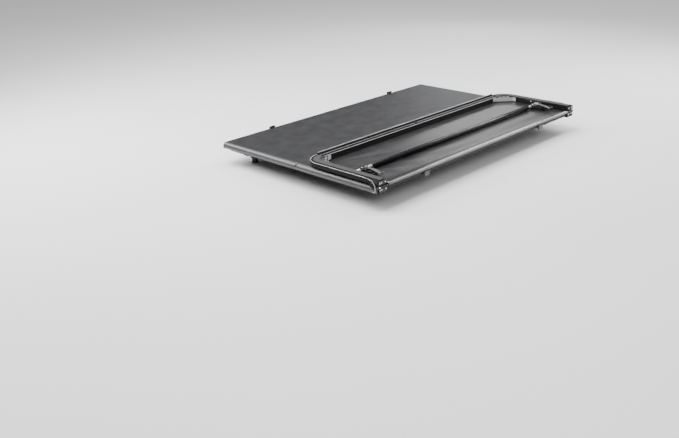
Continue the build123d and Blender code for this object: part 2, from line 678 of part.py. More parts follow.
# ---------------------------------------------------------------- rear clamps
def clamp_arm(side):
    """The swinging arm of a rear clamp: a hub on the trunnion and a slotted body."""
    x0 = side * (ARM_X - ARM_HALF_WIDTH)
    x1 = side * (ARM_X + ARM_HALF_WIDTH)
    front = TUBE_STATION - ARM_LENGTH
    arm = rod(TUBE_RADIUS + 1, x0, x1, TUBE_STATION, TUBE_Z)
    arm += block(x0, x1, TUBE_STATION, front, TUBE_Z - ARM_HALF_HEIGHT, TUBE_Z + ARM_HALF_HEIGHT)
    for edge in (-1, 1):
        ear_x = ARM_X + edge * (ARM_HALF_WIDTH - EAR_WIDTH / 2)
        arm += block(side * (ear_x - EAR_WIDTH / 2), side * (ear_x + EAR_WIDTH / 2),
                     TUBE_STATION - 26, TUBE_STATION - LEVER_PIVOT_REACH - 9,
                     TUBE_Z - 2 * ARM_HALF_HEIGHT, TUBE_Z - ARM_HALF_HEIGHT + 1)
    slot_half = HOOK_HALF_WIDTH + 0.3
    slot = block(side * (ARM_X - slot_half), side * (ARM_X + slot_half), TUBE_STATION - 24,
                 front - 1, TUBE_Z - HOOK_HALF_HEIGHT - 0.3, TUBE_Z + HOOK_HALF_HEIGHT + 0.3)
    bore = rod(TRUNNION_RADIUS + RUNNING_GAP, x0 - side, x1 + side, TUBE_STATION, TUBE_Z)
    return arm - slot - bore - lever_axis(side, LEVER_PIN_RADIUS, ARM_HALF_WIDTH + 1)


def lever_axis(side, radius, half):
    """A round bar along a lever's axis of turning."""
    return rod(radius, side * (ARM_X - half), side * (ARM_X + half),
               TUBE_STATION - LEVER_PIVOT_REACH, TUBE_Z - LEVER_PIVOT_RISE)


def clamp_hook(side):
    """The sliding hook of a rear clamp, with the lip that goes under the bed flange."""
    tip = TUBE_STATION - HOOK_REACH
    low = TUBE_Z - HOOK_HALF_HEIGHT
    high = TUBE_Z + HOOK_HALF_HEIGHT
    lip_end = side * (INNER_X - 5)
    stem = block(side * (ARM_X - HOOK_HALF_WIDTH), side * (ARM_X + HOOK_HALF_WIDTH),
                 TUBE_STATION - HOOK_STEM_START, tip, low, high)
    lip = block(side * (ARM_X - HOOK_HALF_WIDTH), lip_end, tip, tip + 9, low, high)
    toe = block(side * (INNER_X - 13), lip_end, tip, tip + 14, low, high)
    return stem + lip + toe


def clamp_lever(side):
    """The curved hand lever of a rear clamp, with its cam hub between the arm's ears: it runs
    straight over the hook, then bellies and turns up at its tip."""
    near = at(TUBE_STATION - LEVER_PIVOT_REACH)
    top = TUBE_Z - LEVER_PIVOT_RISE
    centre_line = [(2.6, 0), (0.56 * LEVER_LENGTH, 0), (0.76 * LEVER_LENGTH, LEVER_BELLY),
                   (0.87 * LEVER_LENGTH, LEVER_BELLY), (LEVER_LENGTH, 0)]
    half = LEVER_THICKNESS / 2
    upper = [(near + reach, top + sink - half) for reach, sink in centre_line]
    lower = [(near + reach, top + sink + half) for reach, sink in reversed(centre_line)]
    profile = Plane.YZ * make_face(Polyline(*upper, *lower, close=True))
    handle = Pos(side * ARM_X, 0, 0) * extrude(profile, amount=LEVER_HALF_WIDTH, both=True)
    shape = lever_axis(side, LEVER_HUB_RADIUS, LEVER_HUB_HALF) + handle
    return shape - lever_axis(side, LEVER_PIN_RADIUS + RUNNING_GAP, LEVER_HUB_HALF + 1)


def lever_pin(side):
    """The pin that holds a lever in its arm's ears."""
    return lever_axis(side, LEVER_PIN_RADIUS, ARM_HALF_WIDTH)


def build_rear_clamps():
    for name, side in SIDES.items():
        write_folded(f"rear_clamp_arm_{name}", clamp_arm(side))
        write_folded(f"rear_clamp_hook_{name}", clamp_hook(side))
        write_folded(f"rear_clamp_lever_{name}", clamp_lever(side))
        write_folded(f"rear_lever_pin_{name}", lever_pin(side))


os.makedirs("parts", exist_ok=True)
build_front_panel()
build_hinge_links()
build_middle_panel()
build_rear_panel()
build_rear_clamps()
print(len(written), "nodes")
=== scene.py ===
"""Looks of the soft tri-fold tonneau cover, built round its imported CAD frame. Metres."""
import json
import math

import bpy
import bmesh
from mathutils import Matrix, Vector, noise


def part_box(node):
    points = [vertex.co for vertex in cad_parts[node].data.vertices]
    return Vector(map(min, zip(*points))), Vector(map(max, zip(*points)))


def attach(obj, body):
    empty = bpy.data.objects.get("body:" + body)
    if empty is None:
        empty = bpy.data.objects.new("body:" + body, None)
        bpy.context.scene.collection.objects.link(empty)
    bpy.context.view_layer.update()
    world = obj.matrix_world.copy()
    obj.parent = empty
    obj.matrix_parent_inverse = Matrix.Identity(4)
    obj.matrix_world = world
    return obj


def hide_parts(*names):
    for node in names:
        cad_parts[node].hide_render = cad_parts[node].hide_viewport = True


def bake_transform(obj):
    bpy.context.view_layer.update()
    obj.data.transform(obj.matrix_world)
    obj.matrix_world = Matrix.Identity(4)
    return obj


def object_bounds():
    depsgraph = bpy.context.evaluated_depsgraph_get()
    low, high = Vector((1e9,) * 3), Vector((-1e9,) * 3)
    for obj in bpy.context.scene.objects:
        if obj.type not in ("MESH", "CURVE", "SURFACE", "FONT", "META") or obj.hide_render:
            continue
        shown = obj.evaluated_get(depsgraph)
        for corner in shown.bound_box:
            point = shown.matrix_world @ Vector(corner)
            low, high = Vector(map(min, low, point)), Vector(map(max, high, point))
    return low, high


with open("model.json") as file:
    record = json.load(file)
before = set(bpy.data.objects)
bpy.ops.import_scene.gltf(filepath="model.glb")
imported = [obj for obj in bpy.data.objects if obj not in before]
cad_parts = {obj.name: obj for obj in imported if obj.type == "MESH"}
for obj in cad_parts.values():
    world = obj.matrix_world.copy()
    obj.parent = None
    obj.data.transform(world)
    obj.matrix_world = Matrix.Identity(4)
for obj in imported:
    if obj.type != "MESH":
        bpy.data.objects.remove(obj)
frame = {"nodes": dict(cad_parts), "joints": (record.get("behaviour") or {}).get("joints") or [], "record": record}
cad_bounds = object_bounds()
nodes = frame["nodes"]


def joint(name):
    """A joint of the record by name."""
    return next(j for j in frame["joints"] if j["name"] == name)


# ------------------------------------------------------------------ places from the frame
HALF_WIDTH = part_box("front_side_rail_right")[1].x
FRONT_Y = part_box("front_vinyl")[1].y
FRAME_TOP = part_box("front_vinyl")[0].z
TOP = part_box("front_vinyl")[1].z
EDGE = HALF_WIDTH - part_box("front_vinyl")[1].x
RAIL_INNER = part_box("front_side_rail_right")[0].x
FRONT_PIVOT_Y = joint("front_fold")["pos_m"][1]
MIDDLE_PIVOT_Y = joint("middle_fold")["pos_m"][1]
LINK_MIDDLE_Y = (FRONT_PIVOT_Y + MIDDLE_PIVOT_Y) / 2
REAR_AXIS_Y = joint("rear_fold")["pos_m"][1]
REAR_AXIS_Z = joint("rear_fold")["pos_m"][2]
MIDDLE_END_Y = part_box("middle_vinyl")[0].y
TAIL_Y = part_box("tail_rail")[1].y
TAIL_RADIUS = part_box("tail_corner_right")[1].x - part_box("tail_corner_right")[0].x
TUBE_Y = joint("rear_arm_swing_left")["pos_m"][1]
BRACE_FLANGE_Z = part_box("corner_brace_left")[1].z - 0.0004
HINGE_BLOCK_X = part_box("middle_hinge_blocks")[1].x
FLOOR_Z = cad_bounds[0].z
SIDES = {"left": -1, "right": 1}

# ------------------------------------------------------------------ sizes of the vinyl and trim
SKIN = 0.0012
SKIN_GAP = 0.0015
EDGE_RADIUS = EDGE + TOP - FRAME_TOP
FRONT_RADIUS = 0.003
SKIRT_BOTTOM = 0.0055
SKIRTED_WIDTH = (2 * (HALF_WIDTH - EDGE) + math.pi * EDGE_RADIUS
                 + 2 * (TOP - EDGE_RADIUS - SKIRT_BOTTOM))
ROW_GAP = 0.0105  # between rows of points of the flat vinyl
ARC_STEPS = 24
RIBBON_SIDES = 16
WELT_RADIUS = 0.0017
SCREW_RADIUS = 0.0036
TURNED_LEVEL = 0.0030  # of the rear panel's vinyl turned under its rails
TURNED_RADIUS = 0.0030
HINGE_PLATE_FACE = 0.0025  # toward the cab from the rear hinge's axis, and the same below
HINGE_PLATE_BACK = 0.0062
HINGE_PLATE_WIDTH = 0.052
SADDLE_THICKNESS = 0.006
GUSSET_START_Y = FRONT_Y - 1.098
GUSSET_GAP = 0.0003
GROOVE_RISE = 0.0030
# the welt's way round the hinge's end: millimetres behind the front edge, and height
GUSSET_WELT = [(1092, 70.3), (1112, 69.6), (1130, 67.5), (1146, 62), (1157, 53), (1163, 42),
               (1166, 30), (1166, 18), (1161, 9), (1150, 5.5)]
ROLL_INSET = 0.060  # of the roll's ends from the hinge blocks' outer faces
REAR_DROP = 0.0007  # of the rear vinyl's face below the flat panels' top
REAR_LIFT = 0.0022  # middle depth of its waves
TUBE_REACH = 0.035  # how far from the support tube the waves are held down
TUBE_HOLD = 0.75  # share of their depth that the tube takes away
ROLL_RADIUS = 0.0072
ROLL_CENTRE = (MIDDLE_END_Y - 0.0063, 0.0393)
ROLL_LEVEL = 0.0386


# ------------------------------------------------------------------ small helpers
def smooth_step(low, high, value):
    """0 below low, 1 above high, and smooth between them."""
    share = min(1.0, max(0.0, (value - low) / (high - low)))
    return share * share * (3 - 2 * share)


def add_object(name, mesh, material, smooth=True):
    """Links a mesh as a new object with one material."""
    piece = bpy.data.objects.new(name, mesh)
    bpy.context.scene.collection.objects.link(piece)
    mesh.materials.append(material)
    for face in mesh.polygons:
        face.use_smooth = smooth
    return piece


def grid_piece(name, rows, material, flat_place=None):
    """A mesh of quads through rows of points, with its flat place as the UV map, in metres."""
    mesh = bpy.data.meshes.new(name)
    wide = len(rows[0])
    points = [point for row in rows for point in row]
    faces = []
    for r in range(len(rows) - 1):
        for c in range(wide - 1):
            first = r * wide + c
            faces.append((first, first + 1, first + wide + 1, first + wide))
    mesh.from_pydata([tuple(p) for p in points], [], faces)
    if flat_place:
        layer = mesh.uv_layers.new(name="flat")
        for loop in mesh.loops:
            r, c = divmod(loop.vertex_index, wide)
            layer.data[loop.index].uv = flat_place(r, c)
    mesh.update()
    return add_object(name, mesh, material)


def add_modifier(piece, kind, **settings):
    """Adds a modifier and sets its values."""
    modifier = piece.modifiers.new(kind.title(), kind)
    for key, value in settings.items():
        setattr(modifier, key, value)
    return modifier


def thicken(piece, thickness, offset=-1.0, second_face=0):
    """Gives a skin its thickness; its second face can take a later material."""
    add_modifier(piece, "SOLIDIFY", thickness=thickness, offset=offset, use_rim=True,
                 material_offset=second_face)


def apply_modifiers(piece):
    """Makes what the modifiers show the piece's own mesh."""
    depsgraph = bpy.context.evaluated_depsgraph_get()
    made = bpy.data.meshes.new_from_object(piece.evaluated_get(depsgraph))
    piece.modifiers.clear()
    piece.data = made


def tube_piece(name, path, radius, material, sides=10):
    """A round tube through a path of points, with closed ends."""
    curve = bpy.data.curves.new(name, "CURVE")
    curve.dimensions = "3D"
    spline = curve.splines.new("POLY")
    spline.points.add(len(path) - 1)
    for place, point in zip(spline.points, path):
        place.co = (*point, 1)
    curve.bevel_depth = radius
    curve.bevel_resolution = sides // 4
    curve.use_fill_caps = True
    holder = bpy.data.objects.new(name + "_line", curve)
    bpy.context.scene.collection.objects.link(holder)
    mesh = bpy.data.meshes.new_from_object(holder)
    bpy.data.objects.remove(holder)
    mesh.materials.clear()
    return add_object(name, mesh, material)


def box_piece(name, low, high, material, bevel=0.0008, segments=3):
    """A box with rounded edges, between two corners."""
    mesh = bpy.data.meshes.new(name)
    work = bmesh.new()
    bmesh.ops.create_cube(work, size=1)
    middle = (Vector(low) + Vector(high)) / 2
    size = Vector(high) - Vector(low)
    for vertex in work.verts:
        vertex.co = Vector(a * b for a, b in zip(vertex.co, size)) + middle
    bmesh.ops.bevel(work, geom=work.edges[:], offset=bevel, segments=segments, affect="EDGES",
                    profile=0.5)
    work.to_mesh(mesh)
    work.free()
    return add_object(name, mesh, material)


def joined(name, pieces):
    """Several meshes as one piece."""
    with bpy.context.temp_override(active_object=pieces[0], selected_editable_objects=pieces):
        bpy.ops.object.join()
    pieces[0].name = name
    pieces[0].data.name = name
    return pieces[0]


# ------------------------------------------------------------------ materials
def set_range(node, source, result):
    """Sets what a Map Range node reads from and gives out: each is (minimum, maximum)."""
    for side, pair in (("From", source), ("To", result)):
        node.inputs[f"{side} Min"].default_value = pair[0]
        node.inputs[f"{side} Max"].default_value = pair[1]


class Material:
    """Builds a node material a step at a time."""

    def __init__(self, name, color, roughness, metallic=0.0, specular=0.5):
        self.material = bpy.data.materials.new(name)
        self.material.use_nodes = True
        self.tree = self.material.node_tree
        self.shader = self.tree.nodes["Principled BSDF"]
        self.set(self.shader, "Base Color", (*color, 1))
        self.set(self.shader, "Roughness", roughness)
        self.set(self.shader, "Metallic", metallic)
        self.set(self.shader, "Specular IOR Level", specular)
        self.place = None
        self.bumped = None

    def set(self, node, socket, value):
        """Gives a node's socket a constant."""
        node.inputs[socket].default_value = value

    def node(self, kind, **settings):
        """A new node of a kind, with its settings."""
        made = self.tree.nodes.new(kind)
        for key, value in settings.items():
            setattr(made, key, value)
        return made

    def link(self, source, target):
        """Joins an output to an input."""
        self.tree.links.new(source, target)

    def on(self, kind="Object", scale=(1, 1, 1)):
        """Chooses the coordinates that later textures use."""
        if kind == "UV":
            source = self.node("ShaderNodeUVMap", uv_map="flat").outputs["UV"]
        else:
            source = self.node("ShaderNodeTexCoord").outputs[kind]
        mapping = self.node("ShaderNodeMapping")
        mapping.inputs["Scale"].default_value = scale
        self.link(source, mapping.inputs["Vector"])
        self.place = mapping.outputs["Vector"]
        return self

    def noise(self, scale, detail=3.0, roughness=0.55):
        """Cloudy noise; scale is in waves to the metre."""
        made = self.node("ShaderNodeTexNoise")
        self.set(made, "Scale", scale)
        self.set(made, "Detail", detail)
        self.set(made, "Roughness", roughness)
        self.link(self.place, made.inputs["Vector"])
        return made.outputs["Fac"]

    def cells(self, scale):
        """Distance from the edges of irregular cells, as between grains of leather."""
        made = self.node("ShaderNodeTexVoronoi", feature="DISTANCE_TO_EDGE")
        self.set(made, "Scale", scale)
        self.link(self.place, made.inputs["Vector"])
        return made.outputs["Distance"]

    def wave(self, scale, direction):
        """Straight bands that follow one another in one direction."""
        made = self.node("ShaderNodeTexWave", bands_direction=direction)
        self.set(made, "Scale", scale)
        self.link(self.place, made.inputs["Vector"])
        return made.outputs["Fac"]

    def ramp(self, source, stops):
        """A colour or grey ramp: stops are (place, colour)."""
        made = self.node("ShaderNodeValToRGB")
        while len(made.color_ramp.elements) < len(stops):
            made.color_ramp.elements.new(0.5)
        for element, (place, color) in zip(made.color_ramp.elements, stops):
            element.position = place
            if not hasattr(color, "__len__"):
                color = (color, color, color)
            element.color = (*color, 1)
        self.link(source, made.inputs["Fac"])
        return made.outputs["Color"]

    def colored(self, source):
        """Takes the base colour from a source."""
        self.link(source, self.shader.inputs["Base Color"])
        return self

    def rough(self, source, low, high):
        """Takes the roughness from a source, spread between two values."""
        made = self.node("ShaderNodeMapRange")
        set_range(made, (0, 1), (low, high))
        self.link(source, made.inputs["Value"])
        self.link(made.outputs["Result"], self.shader.inputs["Roughness"])
        return self

    def drawn_tight(self, axis, centre, start, end, gloss, weight):
        """A brighter sheen where vinyl is drawn tight over an edge: it sets in from start to
        end away from centre, along one axis of the flat place."""
        split = self.node("ShaderNodeSeparateXYZ")
        self.link(self.place, split.inputs["Vector"])
        away = self.node("ShaderNodeMath", operation="SUBTRACT")
        away.inputs[1].default_value = centre
        self.link(split.outputs[axis], away.inputs[0])
        size = self.node("ShaderNodeMath", operation="ABSOLUTE")
        self.link(away.outputs[0], size.inputs[0])
        amount = self.node("ShaderNodeMapRange")
        set_range(amount, (start, end), (0.0, weight))
        self.link(size.outputs[0], amount.inputs["Value"])
        self.link(amount.outputs["Result"], self.shader.inputs["Coat Weight"])
        self.set(self.shader, "Coat Roughness", gloss)
        self.set(self.shader, "Coat IOR", 1.9)
        return self

    def choice(self, amount, first, second):
        """The first colour where amount is 0, the second where it is 1."""
        made = self.node("ShaderNodeMix", data_type="RGBA")
        self.link(amount, made.inputs[0])
        self.link(first, made.inputs[6])
        self.link(second, made.inputs[7])
        return made.outputs[2]

    def mixed(self, first, second, share=0.5):
        """Two colours in a fixed share."""
        made = self.node("ShaderNodeMix", data_type="RGBA")
        self.set(made, "Factor", share)
        self.link(first, made.inputs[6])
        self.link(second, made.inputs[7])
        return made.outputs[2]

    def bump(self, source, strength, distance):
        """Adds relief from a source, on top of the relief before it."""
        made = self.node("ShaderNodeBump")
        self.set(made, "Strength", strength)
        self.set(made, "Distance", distance)
        self.link(source, made.inputs["Height"])
        if self.bumped:
            self.link(self.bumped, made.inputs["Normal"])
        self.bumped = made.outputs["Normal"]
        self.link(self.bumped, self.shader.inputs["Normal"])
        return self


def vinyl_material(name, color, roughness, grain=0.45, on="UV", specular=0.5, tight=None):
    """Coated vinyl: a fine leather grain, soft mottling and a satin sheen."""
    m = Material(name, color, roughness, specular=specular).on(on)
    if tight:
        m.drawn_tight(*tight)
    mottle = m.noise(14, 4)
    light = tuple(c * 1.4 for c in color)
    dark = tuple(c * 0.66 for c in color)
    m.colored(m.ramp(mottle, [(0.3, dark), (0.7, light)]))
    grain_cells = m.cells(420)
    fine = m.noise(1500, 2)
    m.rough(m.noise(60, 3), roughness - 0.06, roughness + 0.08)
    m.bump(mottle, 0.45, 0.0015)
    m.bump(grain_cells, grain, 0.0005)
    m.bump(fine, 0.25, 0.0002)
    return m.material


def painted_material(name, color, roughness, texture=900, strength=0.3, specular=0.5):
    """Powder coat or paint with a fine orange-peel texture and slight wear in its sheen."""
    m = Material(name, color, roughness, specular=specular).on("Object")
    cloud = m.noise(35, 4)
    light = tuple(c * 1.35 + 0.004 for c in color)
    m.colored(m.ramp(cloud, [(0.35, color), (0.75, light)]))
    m.rough(m.noise(120, 4), roughness - 0.08, roughness + 0.12)
    m.bump(m.noise(texture, 2), strength, 0.0003)
    return m.material


def metal_material(name, color, roughness, along=(1, 40, 40), strength=0.15, metallic=1.0):
    """Bare metal brushed along one way."""
    m = Material(name, color, roughness, metallic=metallic).on("Object", scale=along)
    brushed = m.noise(60, 5, 0.7)
    light = tuple(min(1.0, c * 1.08) for c in color)
    dark = tuple(c * 0.82 for c in color)
    m.colored(m.ramp(brushed, [(0.3, dark), (0.7, light)]))
    m.rough(brushed, roughness - 0.07, roughness + 0.1)
    m.bump(brushed, strength, 0.0002)
    return m.material


def plate_with_shaded_flange_material(name, color, dark, edge):
    """A bright plate whose flat flange, above a height, is dull and dark as painted shade."""
    m = Material(name, color, 0.34, metallic=0.3).on("Object")
    split = m.node("ShaderNodeSeparateXYZ")
    m.link(m.place, split.inputs["Vector"])
    above = m.node("ShaderNodeMath", operation="GREATER_THAN")
    above.inputs[1].default_value = edge
    m.link(split.outputs["Z"], above.inputs[0])
    brushed = m.noise(420, 4, 0.7)
    light = m.ramp(brushed, [(0.3, tuple(c * 0.85 for c in color)), (0.7, color)])
    # painted shade: the flange's dark colour stands in for the shade on it
    coat = m.ramp(brushed, [(0.3, tuple(c * 0.6 for c in dark)), (0.7, dark)])
    m.colored(m.choice(above.outputs[0], light, coat))
    m.rough(brushed, 0.28, 0.44)
    m.bump(brushed, 0.15, 0.0002)
    return m.material


def fabric_material(name, color, on="UV", threads=900.0):
    """A woven backing: crossing threads, speckle and a matt nap."""
    m = Material(name, color, 0.85, specular=0.25).on(on)
    m.set(m.shader, "Sheen Weight", 0.12)
    m.set(m.shader, "Sheen Roughness", 0.6)
    speckle = m.noise(700, 3, 0.8)
    light = tuple(c * 2.0 for c in color)
    dark = tuple(c * 0.4 for c in color)
    m.colored(m.ramp(speckle, [(0.35, dark), (0.68, light)]))
    warp = m.wave(threads, "X")
    weft = m.wave(threads, "Y")
    m.bump(m.mixed(warp, weft), 0.5, 0.0004)
    m.bump(speckle, 0.4, 0.0004)
    return m.material


def rubber_material(name, color):
    """Extruded rubber, matt and a little dusty."""
    m = Material(name, color, 0.7, specular=0.35).on("Object")
    dusty = m.noise(90, 4)
    light = tuple(c * 1.6 + 0.006 for c in color)
    m.colored(m.ramp(dusty, [(0.35, color), (0.7, light)]))
    m.bump(m.noise(1100, 2), 0.35, 0.0003)
    return m.material


MATERIALS = {
    "vinyl": vinyl_material("vinyl_top", (0.019, 0.0192, 0.021), 0.48, specular=0.34,
                            tight=("X", SKIRTED_WIDTH / 2, SKIRTED_WIDTH / 2 - 0.048,
                                   SKIRTED_WIDTH / 2 - 0.034, 0.36, 0.5)),
    # painted shade: a near-black copy of the vinyl, for the rolled edges that face down and the hollows at the
    # hinge's ends, which lie in shade
    "vinyl_shade": vinyl_material("vinyl_turned_edge_painted_shade", (0.006, 0.006, 0.0065), 0.55,
                                  grain=0.2, on="Object", specular=0.10),
    "vinyl_under": vinyl_material("vinyl_underside", (0.018, 0.018, 0.0192), 0.34, grain=0.12,
                                  tight=("Y", 0.027, 0.013, 0.007, 0.11, 1.0)),
    "hem": fabric_material("hem_backing", (0.027, 0.0257, 0.0238)),
    # painted highlight: the welt's light grey stands in for the bright line of light along the lit rolled edges
    # and the tail seal's lip
    "welt": vinyl_material("welt_piping_painted_highlight", (0.42, 0.42, 0.42), 0.32, grain=0.1, on="Object"),
    "buckle": painted_material("buckle_nylon", (0.045, 0.045, 0.046), 0.24, 1300, 0.3),
    # painted highlight: the lips' light grey stands in for the bright edges of the glossy black tail rail
    "rail_lip": painted_material("rail_lip", (0.32, 0.32, 0.325), 0.26, 900, 0.15),
    "webbing": fabric_material("strap_webbing", (0.022, 0.022, 0.023), on="Object", threads=420.0),
    "black_rail": painted_material("rail_powder_coat", (0.009, 0.009, 0.0097), 0.36,
                                   specular=0.2),
    "cast_bracket": painted_material("cast_black", (0.011, 0.011, 0.012), 0.38, 500, 0.5,
                                     specular=0.35),
    # painted highlight: the lever's grey is lighter than its black paint, standing in for the bright sheen along
    # its edges
    "lever_paint": painted_material("lever_black_painted_highlight", (0.075, 0.075, 0.078), 0.22, 1500, 0.12),
    "gloss_tube": painted_material("tube_gloss_black", (0.006, 0.006, 0.007), 0.16, 300, 0.06,
                                   specular=0.3),
    # painted shade: the braces' flanges, above BRACE_FLANGE_Z, are dark
    "bright_plate": plate_with_shaded_flange_material("brushed_aluminium", (0.90, 0.90, 0.90),
                                    (0.05, 0.05, 0.05), BRACE_FLANGE_Z),
    "screw_steel": metal_material("zinc_steel", (0.80, 0.80, 0.81), 0.28, (30, 30, 30), 0.1,
                                 metallic=0.5),
    "seal_rubber": rubber_material("seal_rubber", (0.016, 0.016, 0.017)),
    "hem_fabric": fabric_material("hem_fabric_cad", (0.027, 0.0257, 0.0238), on="Object"),
    "moulded_plastic": painted_material("moulded_nylon", (0.024, 0.024, 0.025), 0.5, 1300, 0.4),
}


# ------------------------------------------------------------------ carried-over CAD nodes
def dress_cad_nodes():
    """Gives each CAD node its slot's material and softens its edges."""
    slots = {s["node"]: s["material_slot"] for s in frame["record"]["subparts"]}
    for name, node in nodes.items():
        node.data.materials.clear()
        look = "buckle" if name == "strap_buckles" else slots[name]
        node.data.materials.append(MATERIALS[look])
        add_modifier(node, "WELD", merge_threshold=0.00002)
        add_modifier(node, "BEVEL", width=0.0007, segments=2, limit_method="ANGLE",
                     angle_limit=math.radians(38), harden_normals=True)


# ------------------------------------------------------------------ vinyl of the flat panels
def side_profile(low):
    """The rolled edge from the flat top out and down to a height, lying flat: (out, height)."""
    points = []
    for k in range(11):
        lean = math.pi / 2 * k / 10
        points.append((-EDGE + EDGE_RADIUS * math.sin(lean),
                       TOP - EDGE_RADIUS * (1 - math.cos(lean))))
    points.append((SKIN_GAP, (TOP - EDGE_RADIUS + low) / 2))
    points.append((SKIN_GAP, low))
    return points


def across_columns(count):
    """Columns across a flat panel: (x, height of the edge there, whether it is flat)."""
    edge = side_profile(SKIRT_BOTTOM)
    inner = HALF_WIDTH - EDGE
    left = [(-(HALF_WIDTH + out), z, False) for out, z in reversed(edge[1:])]
    flat = [(-inner + 2 * inner * k / count, TOP, True) for k in range(count + 1)]
    right = [(HALF_WIDTH + out, z, False) for out, z in edge[1:]]
    return left + flat + right


def sag_between(y, supports, depth):
    """How far stretched vinyl sinks between the cross members under it."""
    for (_, near), (far, _) in zip(supports, supports[1:]):
        if far < y < near:
            share = (near - y) / (near - far)
            return depth * (math.sin(math.pi * share)) ** 2
    return 0.0


def top_relief(x, y, seed):
    """Small soft waves of stretched vinyl."""
    slow = noise.noise(Vector((x * 3.0, y * 5.0, seed)))
    quick = noise.noise(Vector((x * 14.0, y * 17.0, seed + 4.0)))
    return 0.00045 * slow + 0.00012 * quick


def flat_panel_rows(ys, columns, supports, seed, depth=0.0014, front_edge=False):
    """Points of the vinyl over a flat panel, from its front rows to its back ones."""
    lead = []
    if front_edge:
        edge_y = FRONT_Y + SKIN_GAP
        lead += [(edge_y, 0.012), (edge_y, 0.022)]
        for k in range(5):
            roll = math.pi / 2 * (1 - k / 5)
            lead.append((edge_y - FRONT_RADIUS * (1 - math.sin(roll)),
                         TOP - FRONT_RADIUS * (1 - math.cos(roll))))
    rows = []
    for y, highest in lead + [(y, None) for y in ys]:
        row = []
        for x, z, is_flat in columns:
            if highest is not None:
                z = min(z, highest)
            elif is_flat:
                fade = 1 - smooth_step(RAIL_INNER - 0.10, RAIL_INNER + 0.02, abs(x))
                z -= sag_between(y, supports, depth) * fade
                z += top_relief(x, y, seed) * fade
            row.append(Vector((x, y, z)))
        rows.append(row)
    return rows


def lengths(points):
    """Distance along a chain of points, from its first one."""
    total, found = 0.0, [0.0]
    for a, b in zip(points, points[1:]):
        total += (b - a).length
        found.append(total)
    return found


def flat_uv(rows):
    """The flat place of each grid point: along the middle row, and along the middle column."""
    across = lengths(rows[len(rows) // 2])
    middle = len(rows[0]) // 2
    along = lengths([row[middle] for row in rows])
    return lambda r, c: (across[c], along[r])


def steps(first, last, gap):
    """Evenly spaced values from first to last, about gap apart."""
    count = max(1, round(abs(last - first) / gap))
    return [first + (last - first) * k / count for k in range(count + 1)]


def span_of(node):
    """The near and far Y of a cross member, for the sag between members."""
    low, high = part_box(node)
    return (high.y, low.y)


COLUMNS = across_columns(110)


def vinyl_sheet(name, rows):
    """A skin with its underside, unfolded into the flat UV map."""
    piece = grid_piece(name, rows, MATERIALS["vinyl"], flat_uv(rows))
    thicken(piece, SKIN)
    apply_modifiers(piece)
    return piece


def build_front_vinyl():
    """The vinyl over the front panel and the front half of the hinge strip."""
    supports = [span_of("header_rail"), span_of("front_centre_bow"), span_of("front_rear_bow"),
                span_of("hinge_spacer_bar")]
    ys = steps(FRONT_Y + SKIN_GAP - FRONT_RADIUS, LINK_MIDDLE_Y, ROW_GAP)
    rows = flat_panel_rows(ys, COLUMNS, supports, 1.0, front_edge=True)
    cover = vinyl_sheet("front_cover_vinyl", rows)
    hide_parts("front_vinyl", "hinge_vinyl")
    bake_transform(cover)


def build_middle_vinyl():
    """The vinyl over the other half of the hinge strip and the middle panel."""
    supports = [span_of("hinge_spacer_bar"), span_of("middle_front_bow"),
                span_of("middle_rear_bow")]
    ys = steps(LINK_MIDDLE_Y, MIDDLE_END_Y, ROW_GAP)
    rows = flat_panel_rows(ys, COLUMNS, supports, 1.0, depth=0.003)
    cover = vinyl_sheet("middle_cover_vinyl", rows)
    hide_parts("middle_vinyl")
    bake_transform(cover)


# ------------------------------------------------------------------ vinyl of the folded panel
def folded(point):
    """A point of the rear panel lying flat, turned over the rear hinge to where it rests."""
    return Vector((point[0], 2 * REAR_AXIS_Y - point[1], 2 * REAR_AXIS_Z - point[2]))


FLAT_TAIL_Y = 2 * REAR_AXIS_Y - TAIL_Y
FLAT_REAR_START_Y = 2 * REAR_AXIS_Y - MIDDLE_END_Y


def corner_ways(side):
    """The ways out of a tail corner, from the panel's side round to its tail."""
    turns = [math.pi / 2 * k / ARC_STEPS for k in range(ARC_STEPS + 1)]
    return [Vector((side * math.cos(turn), -math.sin(turn), 0)) for turn in turns]


def rear_outline():
    """The left half of the rear panel's outer edge lying flat, from the hinge to the tail:
    points, and the way out from each."""
    centre_y = FLAT_TAIL_Y + TAIL_RADIUS
    straight = steps(FLAT_REAR_START_Y, centre_y, 0.012)
    outline = [(Vector((-HALF_WIDTH, y, 0)), Vector((-1, 0, 0))) for y in straight[:-1]]
    centre = Vector((-(HALF_WIDTH - TAIL_RADIUS), centre_y, 0))
    for way in corner_ways(-1):
        outline.append((centre + way * TAIL_RADIUS, way))
    return outline


def whole_outline(half):
    """The outline from the left side round the tail to the right side."""
    mirrored = [(Vector((-p.x, p.y, 0)), Vector((-w.x, w.y, 0))) for p, w in reversed(half)]
    gap = steps(half[-1][0].x, -half[-1][0].x, 0.02)[1:-1]
    tail = [(Vector((x, FLAT_TAIL_Y, 0)), Vector((0, -1, 0))) for x in gap]
    return half + tail + mirrored


def under_relief(x, y):
    """Waves of the rear panel's vinyl: pulled ridges that fan out from the left tail corner,
    and slow swells along the tube."""
    corner = Vector((-RAIL_INNER + 0.05, FLAT_TAIL_Y + 0.09))
    offset = Vector((x, y)) - corner
    reach = offset.length
    angle = math.atan2(offset.y, offset.x)
    ridges = math.sin(angle * 19.0 + 1.3) * math.exp(-reach / 0.6) * smooth_step(0, 0.15, reach)
    swell = noise.noise(Vector((x * 2.2, y * 4.0, 7.0)))
    fine = noise.noise(Vector((x * 9.0, y * 12.0, 3.0)))
    return 0.0029 * ridges + 0.0014 * swell + 0.0003 * fine


